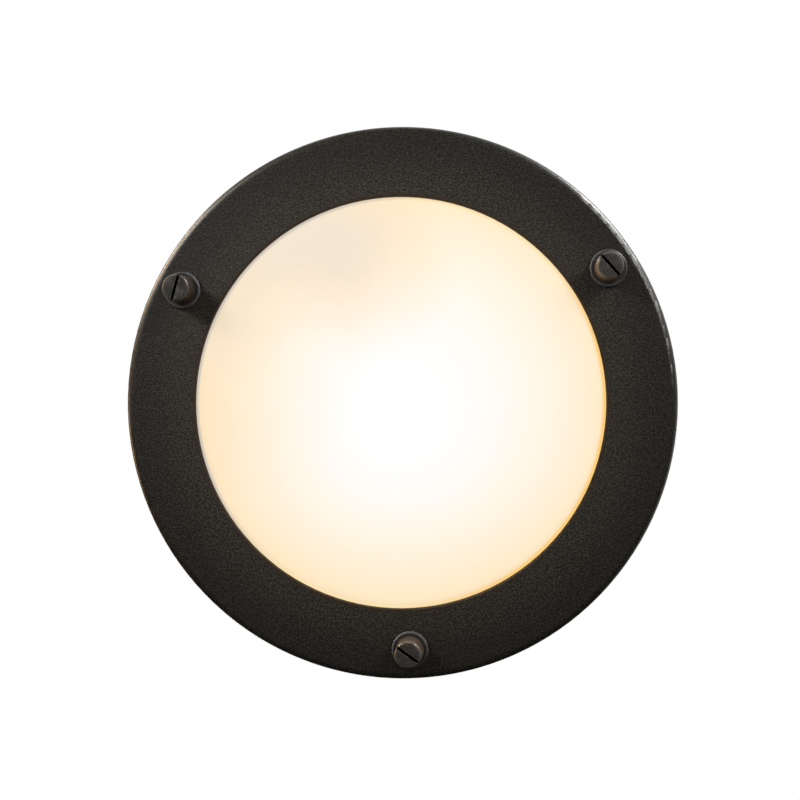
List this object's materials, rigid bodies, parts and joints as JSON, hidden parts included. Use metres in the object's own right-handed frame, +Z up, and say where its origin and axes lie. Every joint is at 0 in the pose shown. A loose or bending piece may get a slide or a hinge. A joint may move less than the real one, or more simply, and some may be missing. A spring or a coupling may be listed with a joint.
{
  "type": "ceiling light",
  "caption": "Round surface ceiling light: drawn housing with lampholder and bulb, and a frosted glass under a black ring held by slotted caps.",
  "frame": {"origin": "middle of the housing's back face, the face that meets the ceiling", "axes": "+Z up into the ceiling, the light hangs along -Z; +Y points to the cap that lies opposite the lampholder's side"},
  "size_m": [0.18, 0.18, 0.0815],
  "materials": {
    "black_finish": "matt black powder coat with a fine grain",
    "cap_black": "matt black coat on turned brass, lightly worn at the edges",
    "washer_black": "black nylon",
    "frosted_glass": "acid-frosted glass, lit from behind",
    "gasket_rubber": "black rubber",
    "foam": "closed-cell foam",
    "zinc_plate": "zinc-plated steel",
    "ceramic_white": "white glazed porcelain",
    "sleeve_nickel": "nickel-plated brass",
    "brass": "turned and punched brass",
    "bulb_glass": "opal glass bulb with a metal screw cap",
    "block_white": "moulded nylon",
    "lead_brown": "silicone-sleeved lead, brown",
    "lead_blue": "silicone-sleeved lead, blue"
  },
  "bodies": {
    "base": {"housing": "black_finish", "stud_ring": "zinc_plate", "stud_1": "zinc_plate", "stud_2": "zinc_plate", "stud_3": "zinc_plate", "ceiling_seal": "foam", "cable_grommet": "gasket_rubber", "holder_bracket": "zinc_plate", "bracket_rivet_1": "zinc_plate", "bracket_rivet_2": "zinc_plate", "earth_screw": "brass", "earth_saddle": "brass", "holder_body": "ceramic_white", "thread_sleeve": "sleeve_nickel", "centre_contact": "brass", "holder_screw_1": "zinc_plate", "holder_screw_2": "zinc_plate", "lead_screw_1": "brass", "lead_screw_2": "brass", "terminal_block": "block_white", "block_screw": "zinc_plate", "terminal_clamp_1": "brass", "terminal_clamp_2": "brass", "clamp_screw_1": "brass", "clamp_screw_2": "brass", "clamp_screw_3": "brass", "clamp_screw_4": "brass", "live_lead": "lead_brown", "neutral_lead": "lead_blue"},
    "cover": {"cover_ring": "black_finish", "glass": "frosted_glass", "glass_gasket": "gasket_rubber"},
    "bulb": {"bulb": "bulb_glass"},
    "washer_1": {"cap_washer_1": "washer_black"},
    "cap_1": {"cap_1": "cap_black"},
    "washer_2": {"cap_washer_2": "washer_black"},
    "cap_2": {"cap_2": "cap_black"},
    "washer_3": {"cap_washer_3": "washer_black"},
    "cap_3": {"cap_3": "cap_black"}
  },
  "joints": [
    {"name": "cover_lift_off", "type": "slide", "parent": "base", "child": "cover", "axis": [0, 0, -1], "range_m": [0, 0.09]},
    {"name": "cap_1_rise", "type": "slide", "parent": "cover", "child": "washer_1", "axis": [0, 0, -1], "range_m": [0, 0.008]},
    {"name": "cap_1_turn", "type": "hinge", "parent": "washer_1", "child": "cap_1", "pos_m": [0, 0.0803, -0.0712], "axis": [0, 0, -1], "range_deg": [0, 3600]},
    {"name": "cap_2_rise", "type": "slide", "parent": "cover", "child": "washer_2", "axis": [0, 0, -1], "range_m": [0, 0.008]},
    {"name": "cap_2_turn", "type": "hinge", "parent": "washer_2", "child": "cap_2", "pos_m": [-0.06954, -0.04015, -0.0712], "axis": [0, 0, -1], "range_deg": [0, 3600]},
    {"name": "cap_3_rise", "type": "slide", "parent": "cover", "child": "washer_3", "axis": [0, 0, -1], "range_m": [0, 0.008]},
    {"name": "cap_3_turn", "type": "hinge", "parent": "washer_3", "child": "cap_3", "pos_m": [0.06954, -0.04015, -0.0712], "axis": [0, 0, -1], "range_deg": [0, 3600]},
    {"name": "bulb_turn", "type": "hinge", "parent": "base", "child": "bulb", "pos_m": [0, 0, -0.034], "axis": [0.342, 0.9397, 0], "range_deg": [0, 1440]}
  ],
  "couplings": [
    {"joint": "cap_1_turn", "follows": "cap_1_rise", "rad_per_m": 7854},
    {"joint": "cap_2_turn", "follows": "cap_2_rise", "rad_per_m": 7854},
    {"joint": "cap_3_turn", "follows": "cap_3_rise", "rad_per_m": 7854}
  ]
}
